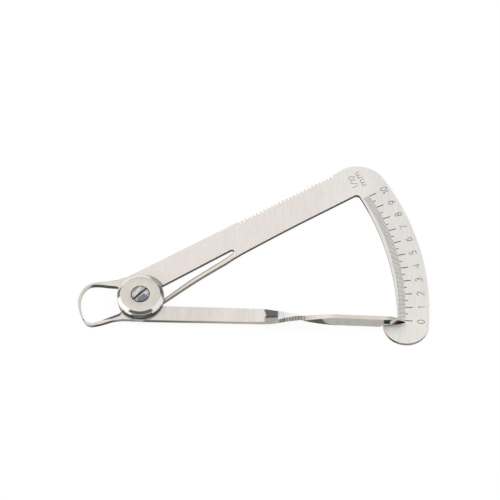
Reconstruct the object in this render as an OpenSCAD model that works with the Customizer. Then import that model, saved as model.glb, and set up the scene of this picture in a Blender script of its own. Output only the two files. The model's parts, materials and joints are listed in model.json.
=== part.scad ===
// Double-ended spring caliper: the jaws at one end measure, the pointer at the other end reads the scale.
// Millimetres. The pivot axis is Z and the flat underside of the scale arm lies at z = 0.

/* [Plates] */
// Thickness of the scale arm
plate_t = 1.2; // [0.8:0.05:2]
// Thickness of the index arm
index_t = 1.3; // [0.8:0.05:2]
// Running clearance above and below the index arm
running_gap = 0.03; // [0.02:0.01:0.1]

/* [Motion] */
// Distance from the pivot to the jaw points
tip_r = 17.4; // [15:0.1:20]
// Direction of the jaw points when closed
tip_angle = 201.6; // [198:0.1:205]
// Widest opening of the jaws, at the last mark of the scale
jaw_opening = 10; // [8:0.5:12]
// Gap left between the closed points
tip_gap = 0.04; // [0.02:0.01:0.1]

/* [Scale arm] */
// Angle from the scale's last mark to the bar's direction
end_margin = 2.28; // [1.8:0.02:4]
// Distance from the pivot to the bar's upper edge
bar_above = 9; // [8.4:0.1:10]
// Width of the bar
bar_w = 9.5; // [8.8:0.1:11]
// Least distance of the scale's inner edge from the pivot
arc_inner_r = 72.9; // [68:0.1:80]
// Greatest width of the scale
arc_w = 10; // [8:0.1:12]
// Distance from the pivot back to the inner edge's own centre, which narrows the scale towards its ends
inner_shift = 12.5; // [0:0.5:15]
// Direction in which the scale is widest
widest_angle = 20; // [15:0.5:25]
// Radius of the outer corner between bar and scale
shoulder_r = 9; // [5:0.1:9.5]
// Rise of that corner above the bar's upper edge
shoulder_rise = 0.25; // [0:0.05:0.4]
// Radius of the inner corner between bar and scale
inner_fillet_r = 1.2; // [0.6:0.1:3]
// Radius of the round end of the scale
lobe_r = 6.6; // [5.4:0.1:7]
// Direction of the middle of the round end
lobe_angle = -5.72; // [-8:0.02:-5]
// Direction of the edge that cuts the round end off below the scale's inner edge
lobe_cut_angle = -4.85; // [-5.2:0.05:-4.5]
// Radius of the corner between that edge and the scale's inner edge
lobe_fillet_r = 1.2; // [0.8:0.1:2]
// Radius of the round plate under the pivot
hub_r = 6.4; // [5.8:0.1:6.6]

/* [Serrated grip] */
// Distance along the bar from the pivot to the first notch
grip_start = 38.5; // [34:0.1:42]
// Number of notches
grip_count = 25; // [10:1:26]
// Distance between notches
grip_pitch = 1.3; // [0.8:0.05:1.4]
// Depth of each notch
grip_depth = 0.5; // [0.2:0.05:0.65]

/* [Upper jaw] */
// Height of the jaw's arm above the pivot
upper_jaw_y = 5.7; // [5.4:0.1:6]
// Width where the jaw leaves the hub
upper_root_w = 3.9; // [3:0.1:4.4]
// Width at the bend
upper_bend_w = 0.85; // [0.6:0.05:1.2]

/* [Lower jaw] */
// Width where the jaw leaves the hub
lower_root_w = 3.6; // [3:0.1:4]
// Width at the bend
lower_bend_w = 0.85; // [0.6:0.05:1.2]
// Distance from the pivot at which the jaw starts to step down
ramp_start = 5.2; // [4.8:0.1:6]
// Length of the step down to the level of the scale arm
ramp_l = 5.8; // [4:0.1:7]
// Clearance of the stepped jaw round the scale arm's hub
ramp_gap = 0.4; // [0.3:0.05:0.6]
// Width of both jaws at their points
tip_w = 0.35; // [0.2:0.05:0.6]

/* [Index arm] */
// Direction of the bar, seen from the pivot
index_angle = -1.55; // [-2.5:0.05:-1]
// Distance from the pivot to the bar's middle line
index_offset = 4.82; // [4.4:0.02:5.2]
// Width of the bar beside the pivot
index_root_w = 4.8; // [4:0.05:5.4]
// Width of the bar where the twist starts
index_end_w = 4.45; // [3.8:0.05:5]
// Radius of the round plate on the pivot
index_hub_r = 6.6; // [6.4:0.05:6.7]
// Distance from the pivot to the start of the twist
twist_start = 35.5; // [30:0.5:40]
// Length of the quarter turn
twist_l = 20; // [16:0.5:24]
// Share of the turn that comes early: 1 is an even twist
twist_early = 1.35; // [1:0.05:1.8]

/* [Pointer blade] */
// Height of the upright blade
blade_h = 4; // [3.4:0.05:4.2]
// Clearance of the blade's lower edge above the rest plane, at the notch
blade_floor = 0.75; // [0.5:0.05:0.9]
// Fall of the blade towards its point
blade_pitch = 1.7; // [0:0.1:2]
// Radius of the point, from the pivot
pointer_r = 76.1; // [75:0.1:78]
// Direction of the closed pointer
pointer_angle = -5.6; // [-5.8:0.05:-5]
// Direction of the scale's zero mark
zero_angle = -5.03; // [-5.6:0.01:-4.6]
// Length of the ground end
point_l = 6.2; // [4:0.1:6.4]
// Height of the point's edge
point_h = 1.1; // [0.3:0.05:1.4]
// Thickness of the point's edge
point_t = 0.12; // [0.05:0.01:0.4]
// Clearance of the point above the scale
pointer_gap = 0.15; // [0.1:0.05:0.4]
// Clearance of the blade's notch from the round end of the scale
notch_gap = 0.45; // [0.3:0.05:1]

/* [Pivot] */
// Radius of the pivot disc
disc_r = 6.78; // [6.7:0.02:7.2]
// Radius of the disc's flat top
disc_top_r = 5.75; // [5:0.05:6.3]
// Height of the disc's upright rim
disc_rim_h = 1.6; // [1:0.05:2]
// Height of the disc's bevel
disc_bevel_h = 0.75; // [0.5:0.05:1.2]
// Radius of the bush that the index arm turns on
bush_r = 1.8; // [1.7:0.05:2]
// Radius of the screw's shank
screw_r = 1.2; // [0.9:0.05:1.25]
// Radius of the screw's head
head_r = 2.55; // [2.2:0.05:2.8]
// Height of the screw's head
head_h = 1.3; // [0.9:0.05:1.5]
// Rise of the head's crown
head_crown = 0.2; // [0.1:0.05:0.4]
// Gap round the sunk head
head_gap = 0.17; // [0.1:0.01:0.3]
// Width of the screwdriver slot
slot_w = 0.75; // [0.4:0.05:0.9]
// Depth of the screwdriver slot
slot_depth = 0.7; // [0.3:0.05:0.9]
// Direction of the screwdriver slot
slot_angle = 46; // [0:1:180]
// Radial clearance where the index arm turns on the bush
bearing_gap = 0.04; // [0.01:0.01:0.08]
// Radial clearance of fixed pins and the screw's thread
fixed_gap = 0.01; // [0.01:0.01:0.03]

/* [Leaf spring] */
// Width of the leaf
leaf_w = 0.9; // [0.6:0.05:1.1]
// Distance along the bar from the pivot to the leaf's root
leaf_root = 31; // [26:0.5:36]
// Set of the leaf away from the bar
leaf_angle = 7.8; // [6.5:0.1:9]
// Radius of the bend at the leaf's root
leaf_bend_r = 15; // [6:0.5:25]
// Length of the leaf past the pin
leaf_overhang = 0.3; // [0.1:0.05:0.5]
// Distance of the slot's upper edge above the pivot line, beside the pivot
slot_near = 1.15; // [0.9:0.05:1.5]
// Distance of the slot's upper edge above the pivot line, at the leaf's root
slot_far = 1.75; // [1.5:0.05:2.2]
// Radius of the plate left round the bush
neck_r = 2.6; // [2.4:0.05:2.7]
// Radius of the spring pin
pin_r = 0.45; // [0.35:0.05:0.55]
// Radius of the pin's orbit round the pivot
pin_orbit = 5.75; // [5.6:0.05:5.9]
// Clearance between leaf and pin
leaf_pin_gap = 0.02; // [0.01:0.01:0.05]
// Clearance round the pin's path in the scale arm
bay_gap = 0.4; // [0.2:0.05:0.6]
// Clearance of the pin's end above the rest plane
pin_floor = 0.2; // [0.1:0.05:0.4]

/* [Hidden] */
$fn = 96;

// Cutters run this far past the faces that they cut, and fillings this far into what they join
past = 1;
inside = 0.4;
// Rounds stand this far into the edges that they run out on, and overlap them by this angle
sink = 0.01;
overlap_angle = 12;

// Levels of the stacked plates
index_z = plate_t + running_gap;
index_top = index_z + index_t;
disc_z = index_top + running_gap;
disc_top = disc_z + disc_rim_h + disc_bevel_h;

// Angle through which the index arm swings to open the jaws
swing = 2 * asin(jaw_opening / 2 / tip_r);

// Outline of the scale, whose bar stands past the last mark
bar_angle = zero_angle + swing + end_margin;
bar_below = bar_above - bar_w;
arc_outer_r = arc_inner_r + arc_w;
inner_centre = polar(-inner_shift, widest_angle);
inner_r = arc_inner_r + inner_shift;
lobe_reach = arc_outer_r - lobe_r + sink;
shoulder_reach = arc_outer_r - shoulder_r + sink;
shoulder_n = bar_above + shoulder_rise - shoulder_r + sink;
shoulder_s = sqrt(pow(shoulder_reach, 2) - pow(shoulder_n, 2));
shoulder_angle = bar_angle + asin(shoulder_n / shoulder_reach);

// Places of the jaw points and of the pointer
tip = polar(tip_r, tip_angle);
pointer = polar(pointer_r, pointer_angle - index_angle);
back_y = pointer[1];
front_y = back_y - index_t;
blade_x = twist_start + twist_l;
notch_r = arc_outer_r - 2 * lobe_r - notch_gap;
notch_x = sqrt(pow(notch_r, 2) - pow(front_y, 2));
point_z = plate_t + pointer_gap;
blade_start_z = blade_floor + (notch_x - blade_x) * tan(blade_pitch);

// The leaf in the bar's frame: where its straight run starts, its direction and its outer side
leaf_middle = bar_below + leaf_w / 2;
leaf_bend = [leaf_root, leaf_middle - leaf_bend_r];
leaf_along = [cos(leaf_angle), sin(leaf_angle)];
leaf_out = [sin(leaf_angle), -cos(leaf_angle)];
leaf_start = leaf_bend - leaf_bend_r * leaf_out;

// The pin lies on its orbit and against the leaf's outer side
pin_off_leaf = leaf_w / 2 + pin_r + leaf_pin_gap;
pin_off_pivot = leaf_start * leaf_out + pin_off_leaf;
pin_at = pin_off_pivot * leaf_out + sqrt(pow(pin_orbit, 2) - pow(pin_off_pivot, 2)) * leaf_along;
leaf_l = (leaf_start - pin_at) * leaf_along + leaf_overhang;

// The bay in the scale arm starts clear of the pin at rest
bay_angle = atan2(pin_at[1], pin_at[0]) - asin((pin_r + bay_gap) / pin_orbit);
slot_end_r = (slot_far - leaf_middle - leaf_w / 2) / 2;

// Middle line of each jaw as [x, y, width]: the arm from the hub, measured from the pivot,
// then the hook, measured from the jaw point; the upper arm's outer side runs on from the bar's corner
bar_corner = on_bar(0, bar_above);
upper_arm = [
  [-0.5, upper_jaw_y - 0.3, upper_root_w],
  [bar_corner[0], bar_corner[1] - upper_root_w / 2, upper_root_w],
  [-6.5, upper_jaw_y + 0.1, 2.6],
  [-9.2, upper_jaw_y, 1.9],
  [-12, upper_jaw_y, 1.25]
];
upper_hook = [
  [1.75, 11.75, upper_bend_w],
  [0, 10.3, upper_bend_w],
  [-1.17, 8, upper_bend_w],
  [-1.47, 5.7, upper_bend_w],
  [-1.12, 3.4, 0.75],
  [-0.57, 1.4, 0.55],
  [0, 0, tip_w],
  [0.3, -0.75, tip_w]
];
lower_arm = [
  [1.5, -index_offset, index_root_w],
  [-3, -index_offset - 0.45, lower_root_w],
  [-5.5, -5.85, 2.3],
  [-8, -6.3, 1.5],
  [-10.5, -7, 1.15]
];
lower_hook = [
  [3.6, -1.2, 0.95],
  [2.3, -1.45, lower_bend_w],
  [1.3, -1.2, lower_bend_w],
  [0.6, -0.6, 0.6],
  [0, 0, tip_w],
  [-0.4, 0.5, tip_w]
];

function polar(r, a) = r * [cos(a), sin(a)];

// Point of the bar's frame: s along the bar, n across it, turned into the part's frame
function on_bar(s, n) = polar(s, bar_angle) + polar(n, bar_angle + 90);

// Hook stations are offsets from the jaw point
function carried(stations) = [for (p = stations) [tip[0] + p[0], tip[1] + p[1], p[2]]];

// Smooth curve through stations, with even steps between neighbours
curve_steps = 6;
function curve_value(p, i, t) =
  let (
    a = p[max(i - 1, 0)],
    b = p[i],
    c = p[i + 1],
    d = p[min(i + 2, len(p) - 1)]
  )
  0.5 * (2 * b + t * (c - a) + t * t * (2 * a - 5 * b + 4 * c - d) + t * t * t * (3 * b - a - 3 * c + d));
function curve(p) = concat(
  [for (i = [0 : len(p) - 2], k = [0 : curve_steps - 1]) curve_value(p, i, k / curve_steps)],
  [p[len(p) - 1]]
);

// One side of a strip of changing width along a curve
function side_of(c, sign) = [
  for (i = [0 : len(c) - 1])
    let (
      d = c[min(i + 1, len(c) - 1)] - c[max(i - 1, 0)],
      l = norm([d[0], d[1]])
    )
    [c[i][0] - sign * d[1] / l * c[i][2] / 2, c[i][1] + sign * d[0] / l * c[i][2] / 2]
];
function reversed(p) = [for (i = [len(p) - 1 : -1 : 0]) p[i]];

module tapered_strip(stations) {
  c = curve(stations);
  polygon(concat(side_of(c, 1), reversed(side_of(c, -1))));
}

// Cutter on one side of the line from the pivot through the jaw points, reaching half the closing gap over it
module beyond_tips(sign) {
  reach = 3 * tip_r;
  rotate(tip_angle)
    translate([0, sign > 0 ? -tip_gap / 2 : tip_gap / 2 - reach])
      square(reach);
}

// Fills the corner between two edges that meet at a point, up to a round of the given centre and radius
module corner_fill(corner, centre, r, touch_a, touch_b) {
  difference() {
    polygon([corner, touch_a, centre, touch_b]);
    translate(centre) circle(r);
  }
}

// Scale arm outline: bar, scale, rounded shoulder, round end and hub
module scale_bar() {
  rotate(bar_angle)
    translate([0, bar_below])
      square([shoulder_s, bar_w]);
}

module scale_band() {
  reach = 2 * arc_outer_r;
  intersection() {
    difference() {
      circle(arc_outer_r, $fn = 360);
      translate(inner_centre) circle(inner_r, $fn = 360);
    }
    polygon([[0, 0], polar(reach, lobe_angle), polar(reach, shoulder_angle)]);
  }
}

module shoulder() {
  centre = on_bar(shoulder_s, shoulder_n);
  reach = 2 * shoulder_r;
  middle = (shoulder_angle + bar_angle + 90) / 2;
  intersection() {
    translate(centre) circle(shoulder_r);
    polygon([
      centre - polar(inside, middle),
      centre + polar(reach, bar_angle + 90 + overlap_angle),
      centre + polar(2 * reach, middle),
      centre + polar(reach, shoulder_angle - overlap_angle)
    ]);
  }
}

// Where a line through a point, in a direction, meets the inner edge's circle grown by an amount
function to_inner_edge(point, angle, grow) =
  let (
    from = point - inner_centre,
    along = from * polar(1, angle)
  )
  point + polar(sqrt(pow(inner_r + grow, 2) - from * from + pow(along, 2)) - along, angle);

// Point on the inner edge, grown by an amount, beyond a fillet's centre
function inner_touch(centre, grow) =
  inner_centre + (centre - inner_centre) * (inner_r + grow) / norm(centre - inner_centre);

module inner_corner() {
  centre = to_inner_edge(on_bar(0, bar_below - inner_fillet_r + sink), bar_angle, sink - inner_fillet_r);
  corner_fill(
    to_inner_edge(on_bar(0, bar_below + inside), bar_angle, inside),
    centre,
    inner_fillet_r,
    centre + polar(inner_fillet_r + inside, bar_angle + 90),
    inner_touch(centre, inside)
  );
}

module lobe() {
  reach = 2 * arc_outer_r;
  intersection() {
    translate(polar(lobe_reach, lobe_angle)) circle(lobe_r);
    polygon([[0, 0], polar(reach, lobe_cut_angle - 90), polar(reach, lobe_cut_angle)]);
  }
}

module lobe_corner() {
  centre = to_inner_edge(polar(lobe_fillet_r - sink, lobe_cut_angle + 90), lobe_cut_angle, sink - lobe_fillet_r);
  corner_fill(
    to_inner_edge(polar(inside, lobe_cut_angle - 90), lobe_cut_angle, inside),
    centre,
    lobe_fillet_r,
    inner_touch(centre, inside),
    centre + polar(lobe_fillet_r + inside, lobe_cut_angle - 90)
  );
}

// Room for the leaf and the pin: everything below the slot's upper edge, from the pin to the leaf's root
module spring_bay() {
  reach = 3 * hub_r;
  rotate(bar_angle)
    polygon([
      [0, 0],
      polar(reach, bay_angle),
      [leaf_root, bar_below - reach],
      [leaf_root, slot_far],
      [0, slot_near]
    ]);
}

module grip_notches() {
  for (i = [0 : grip_count - 1])
    translate(on_bar(grip_start + i * grip_pitch, bar_above))
      rotate(bar_angle)
        polygon([[-grip_depth - past, past], [0, -grip_depth], [grip_depth + past, past]]);
}

module upper_jaw() {
  difference() {
    tapered_strip(concat(upper_arm, carried(upper_hook)));
    beyond_tips(1);
  }
}

module sheet() {
  linear_extrude(plate_t)
    children();
}

module through_sheet() {
  translate([0, 0, -past])
    linear_extrude(plate_t + 2 * past)
      children();
}

module scale_arm() {
  color("Gainsboro")
    difference() {
      union() {
        difference() {
          union() {
            sheet() circle(hub_r);
            sheet() scale_bar();
            sheet() upper_jaw();
          }
          through_sheet() spring_bay();
        }
        sheet() circle(neck_r);
        sheet() scale_band();
        sheet() shoulder();
        sheet() inner_corner();
        sheet() lobe_corner();
        sheet() lobe();
      }
      through_sheet() translate(on_bar(leaf_root, slot_far - slot_end_r)) circle(slot_end_r);
      through_sheet() circle(bush_r + fixed_gap);
      through_sheet() grip_notches();
    }
}

// Leaf spring: a bend at the root, then a straight run
bend_steps = 6;
function leaf_side(r) = concat(
  [for (i = [0 : bend_steps]) leaf_bend + polar(r, 90 + leaf_angle * i / bend_steps)],
  [leaf_bend - r * leaf_out - leaf_l * leaf_along]
);

module leaf_spring() {
  color("Gainsboro")
    rotate(bar_angle)
      sheet()
        polygon(concat(
          leaf_side(leaf_bend_r + leaf_w / 2),
          reversed(leaf_side(leaf_bend_r - leaf_w / 2))
        ));
}

// Index arm: jaw stepped down to the scale arm's level, flat bar, quarter twist and upright pointer blade
module index_bar() {
  rotate(index_angle)
    polygon([
      [0, -index_offset - index_root_w / 2],
      [twist_start, -index_offset - index_end_w / 2],
      [twist_start, -index_offset + index_end_w / 2],
      [0, -index_offset + index_root_w / 2]
    ]);
}

module lower_jaw() {
  reach = 2 * tip_r;
  ramp_end = ramp_start + ramp_l;
  difference() {
    intersection() {
      linear_extrude(index_top)
        difference() {
          tapered_strip(concat(lower_arm, carried(lower_hook)));
          beyond_tips(-1);
        }
      rotate([90, 0, 0])
        linear_extrude(2 * reach, center = true)
          polygon([
            [reach, index_z],
            [-ramp_start, index_z],
            [-ramp_end, 0],
            [-reach, 0],
            [-reach, plate_t],
            [-ramp_end, plate_t],
            [-ramp_start, index_top],
            [reach, index_top]
          ]);
    }
    translate([0, 0, -past])
      cylinder(r = hub_r + ramp_gap, h = index_z + past);
  }
}

// The twist starts sharply and eases into the blade; its sections keep the stock's thickness
twist_steps = 26;
function ease(t) = 1 - pow(1 - t, twist_early);
function mix(a, b, t) = a + (b - a) * t;
function twist_section(t) =
  let (
    turn = 90 * ease(t),
    half_w = mix(index_end_w, blade_h, ease(t)) / 2,
    y = mix(-index_offset, back_y - index_t / 2, ease(t)),
    z = mix(index_z + index_t / 2, blade_start_z + blade_h / 2, ease(t)),
    across = half_w * [cos(turn), -sin(turn)],
    through = index_t / 2 * [sin(turn), cos(turn)]
  )
  [
    for (k = [-across - through, across - through, across + through, through - across])
      [twist_start + t * twist_l, y + k[0], z + k[1]]
  ];

// A narrower section past each end of the twist, inside the bar and the blade
tongue_share = 0.8;
function tongue(section, run) = [
  for (p = section) mix((section[0] + section[2]) / 2, p, tongue_share) + [run, 0, 0]
];

module twist() {
  points = concat(
    tongue(twist_section(0), -inside),
    [for (i = [0 : twist_steps]) each twist_section(i / twist_steps)],
    tongue(twist_section(1), inside)
  );
  last = len(points) - 4;
  sides = [
    for (i = [0 : last / 4 - 1], k = [0 : 3])
      let (
        a = 4 * i + k,
        b = 4 * i + (k + 1) % 4
      )
      each [[a, a + 4, b + 4], [a, b + 4, b]]
  ];
  ends = [[0, 1, 2], [0, 2, 3], [last, last + 2, last + 1], [last, last + 3, last + 2]];
  polyhedron(points, concat(sides, ends));
}

module blade() {
  ground_x = pointer[0] - point_l;
  start_top = blade_start_z + blade_h;
  ground_top = start_top - (ground_x - blade_x) * tan(blade_pitch);
  intersection() {
    translate([0, front_y, 0])
      rotate([90, 0, 0])
        mirror([0, 0, 1])
          linear_extrude(index_t)
            polygon([
              [blade_x, blade_start_z],
              [notch_x, blade_floor],
              [notch_x, point_z],
              [pointer[0], point_z],
              [pointer[0], point_z + point_h],
              [ground_x, ground_top],
              [blade_x, start_top]
            ]);
    linear_extrude(start_top + past)
      polygon([
        [blade_x, front_y],
        [ground_x, front_y],
        [pointer[0], back_y - point_t],
        [pointer[0], back_y],
        [blade_x, back_y]
      ]);
  }
}

module index_arm() {
  color("Gainsboro")
    difference() {
      union() {
        translate([0, 0, index_z])
          linear_extrude(index_t)
            union() {
              circle(index_hub_r);
              index_bar();
            }
        lower_jaw();
        rotate(index_angle) {
          twist();
          blade();
        }
      }
      translate([0, 0, index_z - past])
        cylinder(r = bush_r + bearing_gap, h = index_t + 2 * past);
      rotate(bar_angle)
        translate([pin_at[0], pin_at[1], index_z - past])
          cylinder(r = pin_r + fixed_gap, h = index_t + 2 * past, $fn = 48);
    }
}

// Pin that the leaf presses on, held in the index arm and reaching down into the bay
module spring_pin() {
  color("Silver")
    rotate(bar_angle)
      translate([pin_at[0], pin_at[1], pin_floor])
        cylinder(r = pin_r, h = index_top - pin_floor, $fn = 48);
}

// Bush pressed into the scale arm, on which the index arm turns
module pivot_bush() {
  color("DarkGray")
    difference() {
      cylinder(r = bush_r, h = disc_z);
      translate([0, 0, -past])
        cylinder(r = screw_r + fixed_gap, h = disc_z + 2 * past);
    }
}

// Disc with a bevelled rim and a sunk seat for the screw
module pivot_disc() {
  height = disc_top - disc_z;
  seat_r = head_r + head_gap;
  seat_z = height - head_h;
  color("Gainsboro")
    translate([0, 0, disc_z])
      rotate_extrude()
        polygon([
          [screw_r + fixed_gap, 0],
          [disc_r, 0],
          [disc_r, disc_rim_h],
          [disc_top_r, height],
          [seat_r, height],
          [seat_r, seat_z],
          [screw_r + fixed_gap, seat_z]
        ]);
}

// Slotted screw with a crowned head, its end flush with the rest plane
module pivot_screw() {
  crown_r = (pow(head_r, 2) + pow(head_crown, 2)) / (2 * head_crown);
  color("Silver")
    difference() {
      union() {
        cylinder(r = screw_r, h = disc_top);
        intersection() {
          translate([0, 0, disc_top - head_h])
            cylinder(r = head_r, h = head_h + past);
          translate([0, 0, disc_top + head_crown - crown_r])
            sphere(crown_r, $fn = 180);
        }
      }
      rotate(slot_angle)
        translate([-head_r - past, -slot_w / 2, disc_top + head_crown - slot_depth])
          cube([2 * (head_r + past), slot_w, slot_depth + past]);
    }
}

scale_arm();
leaf_spring();
index_arm();
spring_pin();
pivot_bush();
pivot_disc();
pivot_screw();
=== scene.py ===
import json
import math
import bpy
import bmesh
import numpy as np
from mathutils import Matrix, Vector, geometry

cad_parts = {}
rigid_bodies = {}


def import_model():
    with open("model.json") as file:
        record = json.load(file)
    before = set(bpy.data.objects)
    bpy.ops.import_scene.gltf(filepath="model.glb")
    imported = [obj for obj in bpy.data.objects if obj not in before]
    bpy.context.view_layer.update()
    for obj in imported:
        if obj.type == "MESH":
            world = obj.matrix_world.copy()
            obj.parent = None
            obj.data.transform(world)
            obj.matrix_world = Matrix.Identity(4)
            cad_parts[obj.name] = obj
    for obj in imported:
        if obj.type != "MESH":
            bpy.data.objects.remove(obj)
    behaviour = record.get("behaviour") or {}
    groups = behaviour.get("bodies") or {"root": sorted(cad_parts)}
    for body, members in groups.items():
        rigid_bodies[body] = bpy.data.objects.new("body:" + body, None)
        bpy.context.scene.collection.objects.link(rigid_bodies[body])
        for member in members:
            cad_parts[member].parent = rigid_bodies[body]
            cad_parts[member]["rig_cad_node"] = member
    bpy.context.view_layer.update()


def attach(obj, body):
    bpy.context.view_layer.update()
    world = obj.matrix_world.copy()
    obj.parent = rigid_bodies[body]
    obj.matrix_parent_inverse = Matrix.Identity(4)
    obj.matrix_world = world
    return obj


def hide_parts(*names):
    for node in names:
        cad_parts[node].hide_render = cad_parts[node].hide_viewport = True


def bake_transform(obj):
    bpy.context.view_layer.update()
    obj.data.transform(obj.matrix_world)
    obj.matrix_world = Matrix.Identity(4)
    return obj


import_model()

scene = bpy.context.scene
MM = 0.001

# Measures of the part's source, in millimetres and degrees
PLATE_T = 1.2
INDEX_T = 1.3
RUNNING_GAP = 0.03
TIP_R = 17.4
TIP_ANGLE = 201.6
JAW_OPENING = 10
TIP_GAP = 0.04
END_MARGIN = 2.28
BAR_ABOVE = 9
BAR_W = 9.5
SHOULDER_R = 9
SHOULDER_RISE = 0.25
INNER_FILLET_R = 1.2
LOBE_R = 6.6
LOBE_ANGLE = -5.72
LOBE_CUT_ANGLE = -4.85
LOBE_FILLET_R = 1.2
HUB_R = 6.4
UPPER_JAW_Y = 5.7
UPPER_ROOT_W = 3.9
LOWER_ROOT_W = 3.6
BEND_W = 0.85
RAMP_START = 5.2
RAMP_L = 5.8
INDEX_ANGLE = -1.55
INDEX_OFFSET = 4.82
INDEX_ROOT_W = 4.8
INDEX_END_W = 4.45
INDEX_HUB_R = 6.6
TWIST_START = 35.5
TWIST_L = 20
TWIST_EARLY = 1.35
BLADE_FLOOR = 0.75
BLADE_PITCH = 1.7
POINTER_R = 76.1
POINTER_ANGLE = -5.6
ZERO_ANGLE = -5.03
POINT_L = 6.2
POINT_T = 0.12
POINTER_GAP = 0.15
NOTCH_GAP = 0.45
DISC_R = 6.78
DISC_TOP_R = 5.75
DISC_RIM_H = 1.6
DISC_BEVEL_H = 0.75
BUSH_R = 1.8
SCREW_R = 1.2
HEAD_R = 2.55
HEAD_H = 1.3
HEAD_CROWN = 0.2
HEAD_GAP = 0.17
SLOT_W = 0.75
SLOT_DEPTH = 0.7
SLOT_ANGLE = 46
BEARING_GAP = 0.04
FIXED_GAP = 0.01
LEAF_W = 0.9
LEAF_ROOT = 31
LEAF_ANGLE = 7.8
LEAF_BEND_R = 15
LEAF_OVERHANG = 0.3
SLOT_NEAR = 1.15
SLOT_FAR = 1.75
NECK_R = 2.6
PIN_R = 0.45
PIN_ORBIT = 5.75
LEAF_PIN_GAP = 0.02
BAY_GAP = 0.4

# Measures of the scene alone, closer to the photograph than the solids and inside their box
ARC_INNER_R = 73.08
ARC_OUTER_R = 82.895
INNER_SHIFT = 15.5
WIDEST_ANGLE = 15.5
TIP_W = 0.32
BLADE_H = 3.995
GRIP_START = 38.27
GRIP_COUNT = 26
GRIP_PITCH = 1.272
GRIP_DEPTH = 0.88
GRIP_HALF_W = 0.5
GRIP_FLOOR_HALF_W = 0.13
# Small chamfer on the edges of the stamped sheets, and the slope of the wider ones
EDGE = 0.06
FALL_SHARE = 0.25
# Edges that turn by more degrees than this look sharp
SHARP_TURN = 28
# Faces of a piece take these of its materials
FACE, WALL = 0, 1


# Plan geometry
def vec(*v):
    return np.array(v, float)


def unit(v):
    return v / np.linalg.norm(v)


def mixed(a, b, t):
    return a + (b - a) * t


def polar(r, a):
    return r * vec(math.cos(math.radians(a)), math.sin(math.radians(a)))


def turned(p, a):
    c, s = math.cos(math.radians(a)), math.sin(math.radians(a))
    return vec(c * p[0] - s * p[1], s * p[0] + c * p[1])


def angle_of(p):
    return math.degrees(math.atan2(p[1], p[0]))


def arc(centre, r, a0, a1, step=3.0):
    n = max(2, math.ceil(abs(a1 - a0) / step))
    return [vec(*centre) + polar(r, a0 + (a1 - a0) * i / n) for i in range(n + 1)]


def stationed(stations, at):
    """The value at a place, straight between stations of place and value."""
    places, values = zip(*stations)
    return float(np.interp(at, places, values))


def curve(stations, steps=12):
    """A smooth curve through points, such as stations of x, y and width."""
    p = [vec(*q) for q in stations]
    out = []
    for i in range(len(p) - 1):
        a, b, c, d = p[max(i - 1, 0)], p[i], p[i + 1], p[min(i + 2, len(p) - 1)]
        for k in range(steps):
            t = k / steps
            bend = t**2 * (2 * a - 5 * b + 4 * c - d)
            swing = t**3 * (3 * b - a - 3 * c + d)
            out.append(0.5 * (2 * b + t * (c - a) + bend + swing))
    return out + [p[-1]]


def along_curve(stations):
    """A smooth function through stations of place and value."""
    points = [p[:2] for p in curve(stations)]
    return lambda at: stationed(points, at)


def side_of(c, sign):
    """One side of the strip along a curve of x, y and width."""
    out = []
    for i in range(len(c)):
        d = unit((c[min(i + 1, len(c) - 1)] - c[max(i - 1, 0)])[:2])
        out.append(c[i][:2] + sign * c[i][2] / 2 * vec(-d[1], d[0]))
    return out


def crossing(a, b, value):
    """The point between two others where value(p) is zero."""
    va, vb = value(a), value(b)
    return a + (b - a) * (-va / (vb - va))


def cut(path, value):
    """The leading run of a path for which value(p) stays negative, ended on the exact crossing."""
    out = []
    for a, b in zip(path, path[1:]):
        out.append(a)
        if value(a) < 0 <= value(b):
            return out + [crossing(a, b, value)]
    return out + [path[-1]]


def after(path, value):
    """The rest of a path from the exact place where value(p) rises through zero."""
    for i, (a, b) in enumerate(zip(path, path[1:])):
        if value(a) < 0 <= value(b):
            return [crossing(a, b, value)] + path[i + 1:]
    return path


def with_crossings(path, value):
    """The path with a point added where value(p) passes through zero."""
    out = [path[0]]
    for a, b in zip(path, path[1:]):
        if value(a) * value(b) < 0:
            out.append(crossing(a, b, value))
        out.append(b)
    return out


def tidy_loop(points, least=0.004):
    """A closed path without points that lie on their neighbours."""
    out = []
    for p in points:
        if not out or np.linalg.norm(p - out[-1]) > least:
            out.append(p)
    if np.linalg.norm(out[0] - out[-1]) <= least:
        out.pop()
    return out


# Derived values
INDEX_Z = PLATE_T + RUNNING_GAP
INDEX_TOP = INDEX_Z + INDEX_T
DISC_Z = INDEX_TOP + RUNNING_GAP
DISC_TOP = DISC_Z + DISC_RIM_H + DISC_BEVEL_H
SWING = 2 * math.degrees(math.asin(JAW_OPENING / 2 / TIP_R))
BAR_ANGLE = ZERO_ANGLE + SWING + END_MARGIN
BAR_BELOW = BAR_ABOVE - BAR_W
GRIP_END = GRIP_START + (GRIP_COUNT - 1) * GRIP_PITCH
INNER_CENTRE = polar(-INNER_SHIFT, WIDEST_ANGLE)
INNER_R = ARC_INNER_R + INNER_SHIFT
TIP = polar(TIP_R, TIP_ANGLE)
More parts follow.
